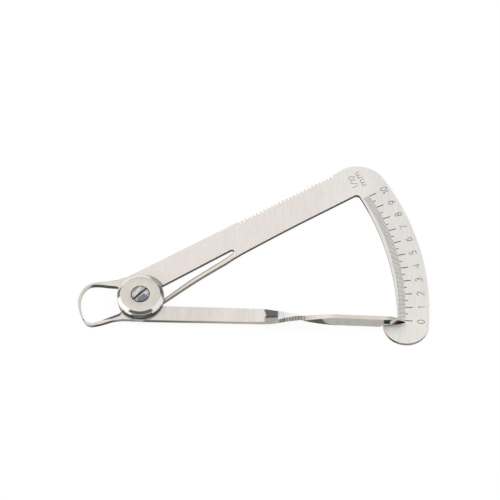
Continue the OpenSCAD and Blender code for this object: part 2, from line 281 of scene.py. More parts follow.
# The leaf and its pin, in the bar's frame
LEAF_MIDDLE = BAR_BELOW + LEAF_W / 2
LEAF_BEND = vec(LEAF_ROOT, LEAF_MIDDLE - LEAF_BEND_R)
LEAF_ALONG = polar(1, LEAF_ANGLE)
LEAF_OUT = polar(1, LEAF_ANGLE - 90)
LEAF_START = LEAF_BEND - LEAF_BEND_R * LEAF_OUT
PIN_OFF_PIVOT = LEAF_START @ LEAF_OUT + LEAF_W / 2 + PIN_R + LEAF_PIN_GAP
PIN_AT = PIN_OFF_PIVOT * LEAF_OUT + math.sqrt(PIN_ORBIT**2 - PIN_OFF_PIVOT**2) * LEAF_ALONG
LEAF_L = (LEAF_START - PIN_AT) @ LEAF_ALONG + LEAF_OVERHANG
BAY_ANGLE = BAR_ANGLE + angle_of(PIN_AT) - math.degrees(math.asin((PIN_R + BAY_GAP) / PIN_ORBIT))
SLOT_END_R = (SLOT_FAR - LEAF_MIDDLE - LEAF_W / 2) / 2


def on_bar(s, n):
    return turned(vec(s, n), BAR_ANGLE)


def over_tips(p):
    """Distance of a point past the line from the pivot through the jaw points, towards the lower jaw."""
    return p @ vec(-math.sin(math.radians(TIP_ANGLE)), math.cos(math.radians(TIP_ANGLE)))


# Meshes
def inset(loop, amounts):
    """Points of a loop moved to its left by each edge's own amount."""
    n = len(loop)
    out = []
    for i in range(n):
        a, b, c = loop[i - 1], loop[i], loop[(i + 1) % n]
        u, v = unit(b - a), unit(c - b)
        na, nb = vec(-u[1], u[0]), vec(-v[1], v[0])
        ca, cb = amounts[i - 1], amounts[i]
        det = na[0] * nb[1] - na[1] * nb[0]
        if abs(det) < 0.4:
            m = na + nb
            d = m / (m @ m) * (ca + cb)
        else:
            d = vec(ca * nb[1] - cb * na[1], na[0] * cb - nb[0] * ca) / det
        out.append(b + d)
    return out


def inside_loop(p, loop):
    inside = False
    for a, b in zip(loop, loop[1:] + loop[:1]):
        if (a[1] > p[1]) != (b[1] > p[1]) and p[0] < (b[0] - a[0]) * (p[1] - a[1]) / (b[1] - a[1]) + a[0]:
            inside = not inside
    return inside


def fill(loops, extra=()):
    """Triangles over the first loop without the others, as indices into all loops' points in turn."""
    points = [p for loop in loops for p in loop]
    edges, start = [], 0
    for loop in loops:
        n = len(loop)
        edges += [(start + i, start + (i + 1) % n) for i in range(n)]
        start += n
    edges += list(extra)
    made = geometry.delaunay_2d_cdt([Vector(p) for p in points], edges, [], 0, 1e-7)
    corners, faces, origin = made[0], made[2], made[3]
    out = []
    for f in faces:
        middle = sum((vec(*corners[k]) for k in f), vec(0, 0)) / len(f)
        if inside_loop(middle, loops[0]) and not any(inside_loop(middle, h) for h in loops[1:]):
            out.append([origin[k][0] for k in f])
    return out


class Build:
    """Collects points and faces in millimetres, then makes one mesh object in metres."""

    def __init__(self):
        self.bm = bmesh.new()

    def ring(self, points):
        return [self.bm.verts.new(Vector(p) * MM) for p in points]

    def face(self, verts, material=FACE):
        """Adds a face, unless it has collapsed or is there already."""
        unique = list(dict.fromkeys(verts))
        if len(unique) < 3:
            return
        try:
            f = self.bm.faces.new(unique)
        except ValueError:
            return
        f.material_index = material
        f.smooth = True

    def crease(self, ring):
        for a, b in zip(ring, ring[1:] + ring[:1]):
            edge = self.bm.edges.get([a, b])
            if edge:
                edge.smooth = False

    def band(self, a, b, material=FACE, closed=True, materials=None):
        n = len(a)
        for i in range(n if closed else n - 1):
            k = (i + 1) % n
            self.face([a[i], a[k], b[k], b[i]], materials[i] if materials else material)

    def sheet(self, loops, bottom, top, amounts, open_edges=(), extra=(), caps=None, facet=FACE):
        """A sheet with chamfered edges; bottom and top give its height at a plan point."""
        low, high = [], []
        plain = [inset(loop, [min(a, EDGE) for a in am]) for loop, am in zip(loops, amounts)]
        wide = [inset(loop, am) for loop, am in zip(loops, amounts)]
        for k, loop in enumerate(loops):
            n = len(loop)
            fall = [max(EDGE, FALL_SHARE * amounts[k][i - 1], FALL_SHARE * amounts[k][i]) for i in range(n)]
            rings = [
                self.ring([(*q, bottom(p)) for p, q in zip(loop, plain[k])]),
                self.ring([(*p, bottom(p) + EDGE) for p in loop]),
                self.ring([(*p, top(p) - f) for p, f in zip(loop, fall)]),
                self.ring([(*q, top(p)) for p, q in zip(loop, wide[k])]),
            ]
            for i in range(n):
                if k == 0 and i in open_edges:
                    continue
                j = (i + 1) % n
                for r, material in enumerate((WALL, WALL, facet if amounts[k][i] > EDGE else FACE)):
                    self.face([rings[r][i], rings[r][j], rings[r + 1][j], rings[r + 1][i]], material)
            for ring in (rings[0], rings[3]):
                self.crease(ring)
            low += rings[0]
            high += rings[3]
        for f in caps or fill(wide, extra):
            self.face([high[i] for i in f])
        for f in caps or fill(plain, extra):
            self.face([low[i] for i in reversed(f)])

    def revolve(self, profile, segments=160, material_of=None):
        rings = []
        for r, z in profile:
            if r < 1e-6:
                rings.append(self.ring([(0, 0, z)]) * segments)
            else:
                rings.append(self.ring([(*polar(r, 360 * i / segments), z) for i in range(segments)]))
        for i, (a, b) in enumerate(zip(rings, rings[1:])):
            self.band(a, b, material_of(i) if material_of else FACE)

    def finish(self, name, materials):
        bmesh.ops.remove_doubles(self.bm, verts=self.bm.verts, dist=1e-7)
        loose = [v for v in self.bm.verts if not v.link_faces]
        bmesh.ops.delete(self.bm, geom=loose, context="VERTS")
        bmesh.ops.recalc_face_normals(self.bm, faces=self.bm.faces)
        for e in self.bm.edges:
            if len(e.link_faces) == 2 and e.calc_face_angle(0) > math.radians(SHARP_TURN):
                e.smooth = False
        mesh = bpy.data.meshes.new(name)
        self.bm.to_mesh(mesh)
        self.bm.free()
        for m in materials:
            mesh.materials.append(m)
        o = bpy.data.objects.new(name, mesh)
        scene.collection.objects.link(o)
        return o


# Node trees
class Nodes:
    """Short forms for building a node tree."""

    def __init__(self, tree):
        self.tree = tree
        tree.nodes.clear()

    def add(self, kind, inputs=None, **settings):
        n = self.tree.nodes.new(kind)
        for key, value in settings.items():
            setattr(n, key, value)
        for key, value in (inputs or {}).items():
            if hasattr(value, "is_output"):
                self.tree.links.new(value, n.inputs[key])
            else:
                n.inputs[key].default_value = value
        return n

    def math(self, operation, a, b=0.0):
        return self.add("ShaderNodeMath", {0: a, 1: b}, operation=operation).outputs[0]

    def step(self, value, lo, hi, to_lo=0.0, to_hi=1.0):
        n = self.add(
            "ShaderNodeMapRange",
            {"Value": value, "From Min": lo, "From Max": hi, "To Min": to_lo, "To Max": to_hi},
            interpolation_type="SMOOTHSTEP",
        )
        return n.outputs["Result"]

    def between(self, *limits):
        """One where every value lies past its limit, with soft borders."""
        out = 1.0
        for value, outside, inside in limits:
            out = self.math("MULTIPLY", out, self.step(value, outside, inside))
        return out

    def parts(self, vector):
        return self.add("ShaderNodeSeparateXYZ", {0: vector}).outputs

    def towards(self, x, y, turn):
        """Distance of a place in a direction of the plan."""
        a = self.math("MULTIPLY", x, math.cos(math.radians(turn)))
        b = self.math("MULTIPLY", y, math.sin(math.radians(turn)))
        return self.math("ADD", a, b)

    def mix(self, factor, a, b, blend="MIX"):
        n = self.add("ShaderNodeMix", {0: factor, 6: a, 7: b}, data_type="RGBA", blend_type=blend)
        return n.outputs[2]

    def product(self, a, b):
        return self.mix(1.0, a, b, "MULTIPLY")

    def scaled(self, colour, factor, share):
        """A colour multiplied by a factor where share is one."""
        return self.mix(share, colour, (*factor, 1), "MULTIPLY")

    def spans(self, value, stops):
        """Colours by distance; each stop is a place in metres and a colour."""
        lo, hi = stops[0][0], stops[-1][0]
        share = self.add("ShaderNodeMapRange", {"Value": value, "From Min": lo, "From Max": hi}).outputs[0]
        n = self.add("ShaderNodeValToRGB", {"Fac": share})
        while len(n.color_ramp.elements) < len(stops):
            n.color_ramp.elements.new(0.5)
        for e, (at, colour) in zip(n.color_ramp.elements, stops):
            e.position = (at - lo) / (hi - lo)
            e.color = (*colour, 1)
        return n.outputs["Color"]

    def noise(self, vector, scale, detail=3.0, rough=0.55):
        n = self.add(
            "ShaderNodeTexNoise",
            {"Vector": vector, "Scale": scale, "Detail": detail, "Roughness": rough},
        )
        return n.outputs[0]

    def mapped(self, vector, turn, scale=(1, 1, 1)):
        rotation = (0, 0, math.radians(turn))
        n = self.add("ShaderNodeMapping", {"Vector": vector, "Rotation": rotation, "Scale": scale})
        return n.outputs[0]


def new_material(name):
    m = bpy.data.materials.new(name)
    m.use_nodes = True
    return m, Nodes(m.node_tree)


# Noise of ground steel, in waves per metre
SCRATCH_WAVES = (7000, 500, 500)
STREAK_WAVES = (1500, 90, 90)
CLOUD_WAVES = 160.0
PATCH_WAVES = 110.0
SCRATCH_DEPTH = 0.00003


def steel(
    name, colour, grain_turn, rough=(0.26, 0.4), grain=1.0, spread=0.07, bump=0.12,
    tone=None, edge=1.0, metal=1.0,
):
    """Ground steel: fine scratches across the grain's direction, faint clouds and worn spots."""
    m, g = new_material(name)
    place = g.add("ShaderNodeTexCoord").outputs["Object"]

    def grained(waves):
        return g.mapped(place, -grain_turn, tuple(w * grain for w in waves))

    def tint(share):
        return tuple(c * share for c in colour) + (1,)

    scratch = g.noise(grained(SCRATCH_WAVES), 1.0, 4.0, 0.6)
    streak = g.noise(grained(STREAK_WAVES), 1.0)
    cloud = g.noise(place, CLOUD_WAVES)
    blend = g.math("ADD", g.math("MULTIPLY", scratch, 0.55), g.math("MULTIPLY", streak, 0.3))
    blend = g.math("ADD", blend, g.math("MULTIPLY", cloud, 0.15))
    shown = g.mix(g.step(blend, 0.3, 0.7), tint(1 - spread), tint(1 + spread))
    patch = g.step(g.noise(place, PATCH_WAVES, 2.0), 0.35, 0.65)
    shown = g.product(shown, g.mix(patch, (1.0, 0.988, 0.997, 1), (1.0, 1.008, 0.982, 1)))
    if tone:
        shown = tone(g, place, shown)
    dullness = g.math("ADD", g.math("MULTIPLY", scratch, 0.6), g.math("MULTIPLY", cloud, 0.4))
    relief = g.add("ShaderNodeBump", {"Strength": bump, "Distance": SCRATCH_DEPTH, "Height": scratch})
    shader = g.add(
        "ShaderNodeBsdfPrincipled",
        {
            "Base Color": shown,
            "Metallic": metal,
            "Roughness": g.step(dullness, 0.3, 0.7, *rough),
            "Specular Tint": (edge, edge, edge, 1),
            "Normal": relief.outputs[0],
        },
    )
    g.add("ShaderNodeOutputMaterial", {"Surface": shader.outputs[0]})
    return m


def ink(name):
    m, g = new_material(name)
    place = g.add("ShaderNodeTexCoord").outputs["Object"]
    worn = g.step(g.noise(place, 2500.0), 0.35, 0.75)
    colour = g.mix(worn, (0.012, 0.011, 0.012, 1), (0.06, 0.055, 0.055, 1))
    rough = g.step(worn, 0.0, 1.0, 0.5, 0.7)
    shader = g.add("ShaderNodeBsdfPrincipled", {"Base Color": colour, "Metallic": 0.0, "Roughness": rough})
    g.add("ShaderNodeOutputMaterial", {"Surface": shader.outputs[0]})
    return m


# Tones common to several pieces, by places in metres
def greyer(factor, start, full):
    """A tone that multiplies the colour by a factor from one place along x to another."""
    return lambda g, place, colour: g.scaled(colour, factor, g.step(g.parts(place)[0], start, full))


def striped(stops):
    """A tone of colours by distance along x."""
    return lambda g, place, colour: g.product(g.spans(g.parts(place)[0], stops), colour)


# Tones of the scale arm and its leaf, by places in metres
# Middle of the painted shadow that the disc casts on the bar, and its soft border
DISC_SHADOW_CENTRE = (0.0002, 0.0017, 0.0012)
DISC_SHADOW_BORDER = (0.00715, 0.00695)
# Reach of the grip's bright wear past its ends and below its notches, from outside to inside, in mm
GRIP_WEAR_PAST = (1.2, 0.8)
GRIP_WEAR_BELOW = (0.3, 0.1)


def tip_tone(g, place, colour):
    """Painted shadow: a dark line where the two jaw points meet, standing in for the shaded gap between them.
    """
    x, y = g.parts(place)[:2]
    off = g.math("ABSOLUTE", g.towards(x, y, TIP_ANGLE + 90))
    return g.scaled(colour, (0.2, 0.18, 0.16), g.between((off, 0.0003, 0.00018), (x, -0.012, -0.014)))


def plate_tone(g, place, colour):
    """Greyer at the scale's free end and on the jaw, with a painted shadow of the disc on the bar behind it.
    """
    x, y = g.parts(place)[:2]
    colour = g.scaled(colour, (0.95, 0.96, 0.965), g.between((x, 0.066, 0.07), (y, -0.006, 0.0)))
    colour = g.scaled(colour, (0.985, 1.0, 1.0), g.step(y, 0.006, -0.003))
    colour = g.scaled(colour, (1.015, 1.045, 1.05), g.step(x, 0.05, 0.056))
    colour = g.scaled(colour, (0.95, 0.975, 0.94), g.step(x, 0.0, -0.006))
    colour = g.scaled(colour, (0.84, 0.86, 0.85), g.step(x, -0.009, -0.014))
    # Painted shadow of the disc: a dark crescent on the bar just behind it
    off = g.add("ShaderNodeVectorMath", {0: place, 1: DISC_SHADOW_CENTRE}, operation="DISTANCE").outputs["Value"]
    colour = g.scaled(colour, (0.45, 0.44, 0.4), g.between((off, *DISC_SHADOW_BORDER), (x, 0.0, 0.003)))
    return tip_tone(g, place, colour)


def grip_wear(g, place):
    """One on the grip's notches."""
    s, n = g.parts(g.mapped(place, -BAR_ANGLE))[:2]
    return g.between(
        (s, *((GRIP_START - past) * MM for past in GRIP_WEAR_PAST)),
        (s, *((GRIP_END + past) * MM for past in GRIP_WEAR_PAST)),
        (n, *((BAR_ABOVE - GRIP_DEPTH - below) * MM for below in GRIP_WEAR_BELOW)),
    )


def cut_tone(g, place, colour):
    """Painted light and shade on the cut walls: dark at the front, lighter where they face back, on the arc's
    edges near the zero end and at the jaw's point; the grip's notches are worn bright.
    """
    x, y = g.parts(place)[:2]
    facing_back = g.parts(g.add("ShaderNodeTexCoord").outputs["Normal"])[1]
    # Painted light: lighter walls on the arc's edges near the zero end and at the jaw's point
    worn = g.between((y, 0.033, 0.029), (y, -0.0125, -0.0105), (x, 0.055, 0.06))
    worn = g.math("MAXIMUM", worn, g.step(x, -0.014, -0.0155))
    colour = g.mix(g.between((x, 0.0722, 0.0742), (y, 0.0, -0.002)), colour, (0.26, 0.25, 0.21, 1))
    # Painted light: walls that face back are lighter
    colour = g.mix(g.step(facing_back, 0.05, 0.35), colour, (0.6, 0.58, 0.55, 1))
    colour = g.mix(grip_wear(g, place), colour, (0.85, 0.83, 0.8, 1))
    return g.mix(worn, colour, (0.5, 0.47, 0.42, 1))


def leaf_edge_tone(g, place, colour):
    """The leaf's rounded edge is worn bright at its root."""
    return g.mix(g.step(g.parts(place)[0], 0.0205, 0.0255), colour, (0.34, 0.31, 0.27, 1))


# The leaf is greyer towards its free end, and its front wall darker at its root
leaf_tone = greyer((0.78, 0.8, 0.82), 0.018, 0.009)
leaf_cut_tone = greyer((0.6, 0.6, 0.6), 0.019, 0.026)

# Tones of the index arm, by places in metres
# The blade's upper edge and its drop to the lower one, as far as its tones go
BLADE_SHADE_TOP = 0.0051
BLADE_SHADE_DROP = 0.0039
# Where the painted shade at the blade's start ends at its upper edge
WEDGE_END = 0.05145
# Where the ground end of the blade begins
GROUND_SHADE = 0.0694
# Painted light and shade along the front edge: dark beside the disc with a painted highlight just below it,
# paler towards the blade and bright along its top
edge_light_and_shade = striped([
    (-0.0175, (0.3, 0.28, 0.24)),
    (-0.0145, (0.3, 0.28, 0.24)),
    (-0.0125, (0.05, 0.045, 0.035)),
    (-0.0085, (0.06, 0.054, 0.042)),
    (-0.0065, (0.28, 0.255, 0.225)),
    (-0.0017, (0.25, 0.235, 0.21)),
    (-0.0012, (0.34, 0.36, 0.32)),
    (0.0008, (0.34, 0.36, 0.32)),
    (0.0013, (0.1, 0.09, 0.075)),
    (0.010, (0.16, 0.15, 0.125)),
    (0.024, (0.4, 0.38, 0.32)),
    (0.0355, (0.44, 0.42, 0.36)),
    (0.0375, (0.4, 0.385, 0.35)),
    (0.0393, (0.46, 0.44, 0.4)),
    (0.0399, (0.22, 0.21, 0.19)),
    (0.0411, (0.22, 0.21, 0.19)),
    (0.0415, (0.68, 0.65, 0.605)),
    (0.0474, (0.694, 0.656, 0.608)),
    (0.0800, (0.713, 0.67, 0.613)),
])
# Painted shade in the grooves: dark at the start of the twist and lighter further on
groove_shade = striped([
    (0.0410, (0.02, 0.019, 0.017)),
    (0.0435, (0.08, 0.065, 0.055)),
    (0.0475, (0.4, 0.32, 0.27)),
])


def index_tone(g, place, colour):
    """The index arm's face is a little greyer towards the disc, with the painted shadow line where the jaw
    points meet.
    """
    colour = g.scaled(colour, (0.94, 0.935, 0.93), g.step(g.parts(place)[0], 0.026, 0.016))
    return tip_tone(g, place, colour)


def polish_tone(g, place, colour):
    """Painted shade along the front of the polished start of the twist, and a painted highlight on a band
    just in front of it.
    """
    x, y = g.parts(place)[:2]
    begun = (x, 0.0352, 0.036)
    colour = g.scaled(colour, (0.42, 0.42, 0.42), g.between(begun, (y, -0.006, -0.0062)))
    return g.scaled(colour, (1.5, 1.5, 1.5), g.between(begun, (y, -0.0066, -0.0071)))


def wedge_colours(g, x, z):
    """Painted shade: the blade's start is dark up to a slanted limit, drawn out along the lower edge, and
    then dull.
    """
    low = g.math("DIVIDE", g.math("SUBTRACT", BLADE_SHADE_TOP, z), BLADE_SHADE_DROP)
    tail = g.math("MULTIPLY", g.step(low, 0.8, 1.0), 0.0026)
    limit = g.math("ADD", g.math("ADD", g.math("MULTIPLY", low, 0.0019), tail), WEDGE_END)
    shade = g.spans(x, [
        (0.0465, (0.34, 0.22, 0.12)),
        (0.0480, (0.3, 0.22, 0.16)),
        (0.0492, (0.25, 0.23, 0.2)),
        (0.0508, (0.19, 0.18, 0.16)),
        (0.0560, (0.2, 0.19, 0.17)),
    ])
    past = g.step(g.math("SUBTRACT", x, limit), -0.0001, 0.0002)
    return g.mix(past, shade, (0.525, 0.513, 0.46, 1))


def temper_colours(g, x, z):
    """Painted reflections on the ground end: slanted bands of reflected colours above a painted highlight on
    its lower part, and a painted shadow along its lower edge.
    """
    tilt = g.math("MULTIPLY", g.math("SUBTRACT", 0.0037, z), g.step(x, 0.0712, 0.0716, 0.0, 0.73))
    bands = g.spans(g.math("ADD", x, tilt), [
        (GROUND_SHADE, (0.06, 0.075, 0.05)),
        (0.0712, (0.07, 0.09, 0.06)),
        (0.0715, (1.0, 0.99, 0.97)),
        (0.0728, (1.0, 0.98, 0.95)),
        (0.0731, (0.5, 0.25, 0.1)),
        (0.0736, (0.35, 0.16, 0.1)),
        (0.0739, (0.06, 0.06, 0.18)),
        (0.0757, (0.02, 0.022, 0.06)),
    ])
    line = g.math("SUBTRACT", 0.0026, g.math("MULTIPLY", g.math("SUBTRACT", x, GROUND_SHADE), 0.24))
    upper = g.step(g.math("SUBTRACT", z, line), -0.00012, 0.00012)
    end = g.mix(upper, (0.95, 0.93, 0.9, 1), bands)
    return g.mix(g.step(z, 0.0018, 0.0016), end, (0.08, 0.055, 0.05, 1))


def front_tone(g, place, colour):
    """The blade's front is dull, with painted shade in the twist and painted reflections on its ground end.
    """
    x, _, z = g.parts(place)
    ground = g.math("GREATER_THAN", x, GROUND_SHADE)
    return g.product(g.mix(ground, wedge_colours(g, x, z), temper_colours(g, x, z)), colour)


# Tones of the disc and the screw, by places in metres
# Direction of the side where the disc's bevel carries painted shade, in degrees
SHADED_SIDE = 28
# The disc's face is greyer on its right
disc_tone = greyer((0.957, 0.994, 0.994), -0.002, 0.0055)


def rim_tone(g, place, colour):
    """Painted shade on the disc's foot, near black, with a painted reflection of the plate as a light line
    low on its front.
    """
    x, y, z = g.parts(place)
    line = g.between(
        (z, 0.00275, 0.00285),
        (z, 0.0033, 0.0032),
        (x, -0.0025, -0.0015),
        (x, 0.0038, 0.0028),
        (y, -0.003, -0.005),
    )
    return g.mix(line, colour, (0.3, 0.31, 0.3, 1))


def bevel_tone(g, place, colour):
    """Painted shade on the polished bevel: darker on its right, and dark low on its front."""
    x, y, z = g.parts(place)
    side_shade = g.step(g.towards(x, y, SHADED_SIDE), 0.0047, 0.0054)
    colour = g.scaled(colour, (0.45, 0.46, 0.43), side_shade)
    front = g.between(
        (x, -0.0026, -0.0021),
        (x, 0.0038, 0.0033),
        (y, -0.005, -0.0058),
        (z, 0.00432, 0.00422),
    )
    return g.scaled(colour, (0.16, 0.165, 0.165), front)


def screw_tone(g, place, _):
    """Streaks along the slot, with a slate-blue patch on one side of it."""
    slot_place = g.mapped(place, -SLOT_ANGLE)
    along, across = g.parts(slot_place)[:2]
    streak = g.step(g.noise(g.mapped(slot_place, 0, (300, 2600, 300)), 1.0, 2.0), 0.35, 0.65)
    slate_patch = g.between((across, -0.0006, -0.00068), (along, 0.0009, 0.0008), (along, -0.0021, -0.0019))
    worn = g.mix(streak, (0.16, 0.155, 0.15, 1), (0.52, 0.51, 0.5, 1))
    return g.mix(slate_patch, worn, (0.135, 0.15, 0.18, 1))


# Materials
GRAIN_OF_DISC = 20
WHITE = (1, 1, 1)
face_scale = steel(
    "plate_face", (0.866, 0.81, 0.776), BAR_ANGLE, (0.5, 0.62), spread=0.08, tone=plate_tone, metal=0.5
)
# Painted shade: the cut walls' dark base colour stands in for the dark reflections these walls show
cut_scale = steel("plate_cut_edge", (0.08, 0.075, 0.06), 0, (0.4, 0.6), 0.7, 0.3, tone=cut_tone)
face_leaf = steel("leaf_face", (0.7, 0.655, 0.59), BAR_ANGLE, spread=0.12, tone=leaf_tone)
edge_leaf = steel("leaf_rounded_edge", (0.11, 0.1, 0.085), BAR_ANGLE, spread=0.12, tone=leaf_edge_tone)
cut_leaf = steel("leaf_cut_edge", (0.235, 0.215, 0.18), 0, (0.4, 0.6), 0.7, 0.25, tone=leaf_cut_tone)
face_index = steel("index_face", (0.675, 0.63, 0.605), INDEX_ANGLE, spread=0.12, tone=index_tone)
edge_index = steel("index_edge", WHITE, INDEX_ANGLE, (0.3, 0.45), 0.8, 0.1, tone=edge_light_and_shade)
front_index = steel("blade_front", WHITE, INDEX_ANGLE, (0.3, 0.45), 0.5, 0.12, tone=front_tone, edge=0.3)
twist_polish = steel(
    "twist_start", (0.57, 0.545, 0.525), INDEX_ANGLE, (0.05, 0.09), 0.8, 0.04, 0.02, tone=polish_tone
)
groove_steel = steel("groove", WHITE, 0, (0.4, 0.6), 0.7, 0.1, tone=groove_shade)
twist_white = steel("twist_face", (0.88, 0.87, 0.86), INDEX_ANGLE, (0.22, 0.28), 0.8, 0.04, 0.05)
# Painted shade: the jaw facet's dark base colour stands in for the dark reflection it shows
facet_shade_steel = steel("jaw_facet", (0.15, 0.14, 0.12), 0, (0.3, 0.45), 0.8, 0.25)
disc_satin = steel("disc_face", (0.6, 0.562, 0.512), GRAIN_OF_DISC, (0.26, 0.4), 0.8, 0.09, tone=disc_tone)
disc_polish = steel(
    "disc_bevel", (0.8, 0.785, 0.76), GRAIN_OF_DISC, (0.07, 0.14), 0.6, 0.05, 0.03, tone=bevel_tone
)
# Painted shade: the disc's foot and the recess under the screw head are near black
disc_shade = steel("disc_rim", (0.03, 0.03, 0.027), GRAIN_OF_DISC, (0.3, 0.45), 0.6, 0.2, tone=rim_tone)
screw_polish = steel(
    "screw_head", (0.5, 0.49, 0.48), SLOT_ANGLE, (0.1, 0.2), 0.6, 0.08, 0.1, tone=screw_tone
)
slot_steel = steel("screw_slot", (0.3, 0.27, 0.24), SLOT_ANGLE, (0.3, 0.5), 0.6, 0.3)
hidden_steel = steel("bush_and_pin", (0.6, 0.59, 0.57), 0, (0.25, 0.4))
mark_ink = ink("mark_ink")


# Jaws
# Rise of the undersides towards the points, and the wider chamfers, as stations of x and amount
JAW_THINNING = [(-16.5, 0.45), (-14, 0)]
UPPER_OUTER_EDGE = [(-9.5, 0), (-8.5, 0.16), (-5, 0.16), (-4, 0)]
UPPER_INNER_EDGE = [(-15, 0), (-13.7, 0.25), (-8, 0.25), (-6.5, 0)]
LOWER_FACET = [(-11, 0), (-9.8, 0.4), (-8, 0.9), (-6.2, 0.95), (-5.2, 0.3)]
# The upper jaw's edges lie to the left of this x and above this y
UPPER_JAW_CORNER = (-4, 2)


def flat(z):
    return lambda p: z


def thinned(p):
    """Height by which a jaw's underside rises towards its point."""
    return stationed(JAW_THINNING, p[0])


def jaw_curve(arm, hook):
    """A jaw's middle line, from stations about the pivot and then about the jaw points."""
    return curve(arm + [(TIP[0] + x, TIP[1] + y, w) for x, y, w in hook])


def upper_jaw_sides():
    corner = on_bar(0, BAR_ABOVE)
    arm = [
        (-0.5, UPPER_JAW_Y - 0.3, UPPER_ROOT_W),
        (corner[0], corner[1] - UPPER_ROOT_W / 2, UPPER_ROOT_W),
        (-6.5, UPPER_JAW_Y + 0.1, 2.6),
        (-9.2, UPPER_JAW_Y, 1.9),
        (-12, UPPER_JAW_Y, 1.25),
    ]
    hook = [
        (1.75, 11.75, BEND_W),
        (0, 10.3, BEND_W),
        (-1.17, 8, BEND_W),
        (-1.47, 5.7, BEND_W - 0.04),
        (-1.12, 3.4, 0.66),
        (-0.57, 1.4, 0.45),
        (0, 0, TIP_W),
        (0.3, -0.75, TIP_W),
    ]
    c = jaw_curve(arm, hook)
    return [cut(side_of(c, sign), lambda p: over_tips(p) + TIP_GAP / 2) for sign in (-1, 1)]


def lower_jaw_sides():
    arm = [
        (1.5, -INDEX_OFFSET, INDEX_ROOT_W),
        (-3, -INDEX_OFFSET - 0.45, LOWER_ROOT_W),
        (-5.5, -5.85, 2.3),
        (-8, -6.3, 1.5),
        (-10.5, -7, 1.15),
    ]
    hook = [
        (3.6, -1.2, 0.95),
        (2.3, -1.45, BEND_W),
        (1.3, -1.2, BEND_W),
        (0.6, -0.6, 0.6),
        (0, 0, TIP_W),
        (-0.4, 0.5, TIP_W),
    ]
    c = jaw_curve(arm, hook)
    return [cut(side_of(c, sign), lambda p: TIP_GAP / 2 - over_tips(p)) for sign in (1, -1)]


def edge_widths(loop, wider):
    """Chamfer of each edge of a loop, from its middle and whether it runs towards the jaws."""
    return [max(EDGE, wider((a + b) / 2, b[0] < a[0])) for a, b in zip(loop, loop[1:] + loop[:1])]


def upper_jaw_edge(m, outer):
    """The upper jaw's edges are rounded a little more than the rest."""
    if m[0] > UPPER_JAW_CORNER[0] or m[1] < UPPER_JAW_CORNER[1]:
        return 0
    if not outer:
        return stationed(UPPER_INNER_EDGE, m[0])
    return stationed(UPPER_OUTER_EDGE, m[0]) if m[1] > UPPER_JAW_Y else 0


def lower_jaw_edge(m, inner):
    """The lower jaw's inner edge is filed to a facet beside the disc."""
    return stationed(LOWER_FACET, m[0]) if inner and m[0] < 0 else 0


# Scale arm
# The leaf's root swells below the bar's edge, which falls away from there, by distance along the bar
ROOT_SWELL = [(12, 0), (16, 0.05), (20, 0.2), (24, 0.46), (28, 0.7)]
ROOT_SWELL += [(31, 0.62), (34, 0.4), (40, 0.24), (46, 0.1), (52, 0)]
root_swell = along_curve(ROOT_SWELL)


def to_inner_edge(point, angle, grow):
    """Where a line through a point, in a direction, meets the inner edge's circle grown by an amount."""
    off = point - INNER_CENTRE
    along = off @ polar(1, angle)
    return point + polar(math.sqrt((INNER_R + grow) ** 2 - off @ off + along**2) - along, angle)


def jaw_and_hub():
    outer, inner = upper_jaw_sides()
    corner = on_bar(0, BAR_ABOVE)
    back = after(inner[::-1], lambda p: HUB_R - np.linalg.norm(p))
    path = [corner] + [p for p in outer if p[0] < corner[0] - 0.1]
    path += [p for p in inner[::-1] if np.linalg.norm(p) > HUB_R]
    return path + arc((0, 0), HUB_R, angle_of(back[0]), 360 + BAY_ANGLE)


def spring_slot():
    slope = math.degrees(math.atan((SLOT_FAR - SLOT_NEAR) / LEAF_ROOT))
    drop = SLOT_NEAR * math.cos(math.radians(slope))
    neck_end = BAR_ANGLE + slope + math.degrees(math.asin(drop / NECK_R))
    end = on_bar(LEAF_ROOT, SLOT_FAR - SLOT_END_R)
    return arc((0, 0), NECK_R, BAY_ANGLE, neck_end) + arc(end, SLOT_END_R, BAR_ANGLE + 90, BAR_ANGLE - 90, 10)


def window():
    """From the leaf's root along the bar and the arc's inner edge to the cut side of the round end."""
    path = [on_bar(s, BAR_BELOW - root_swell(s)) for s in range(LEAF_ROOT, ROOT_SWELL[-1][0] + 1)]
    top = to_inner_edge(on_bar(0, BAR_BELOW - INNER_FILLET_R), BAR_ANGLE, -INNER_FILLET_R)
    low = to_inner_edge(polar(LOBE_FILLET_R, LOBE_CUT_ANGLE + 90), LOBE_CUT_ANGLE, -LOBE_FILLET_R)
    start, end = angle_of(top - INNER_CENTRE), angle_of(low - INNER_CENTRE)
    path += arc(top, INNER_FILLET_R, BAR_ANGLE + 90, start, 9)
    path += arc(INNER_CENTRE, INNER_R, start, end, 0.4)
    return path + arc(low, LOBE_FILLET_R, end, LOBE_CUT_ANGLE - 90, 9)


def rim():
    """Round end, outer arc and shoulder."""
    reach = ARC_OUTER_R - LOBE_R
    off = reach * math.sin(math.radians(LOBE_CUT_ANGLE - LOBE_ANGLE))
    lobe_start = LOBE_CUT_ANGLE + 180 - math.degrees(math.asin(off / LOBE_R))
    path = arc(polar(reach, LOBE_ANGLE), LOBE_R, lobe_start, 360 + LOBE_ANGLE)
    reach, n = ARC_OUTER_R - SHOULDER_R, BAR_ABOVE + SHOULDER_RISE - SHOULDER_R
    shoulder = BAR_ANGLE + math.degrees(math.asin(n / reach))
    shoulder_end = BAR_ANGLE + 90 + math.degrees(math.acos(1 - SHOULDER_RISE / SHOULDER_R))
    path += arc((0, 0), ARC_OUTER_R, LOBE_ANGLE, shoulder, 0.5)
    return path + arc(on_bar(math.sqrt(reach**2 - n**2), n), SHOULDER_R, shoulder, shoulder_end)


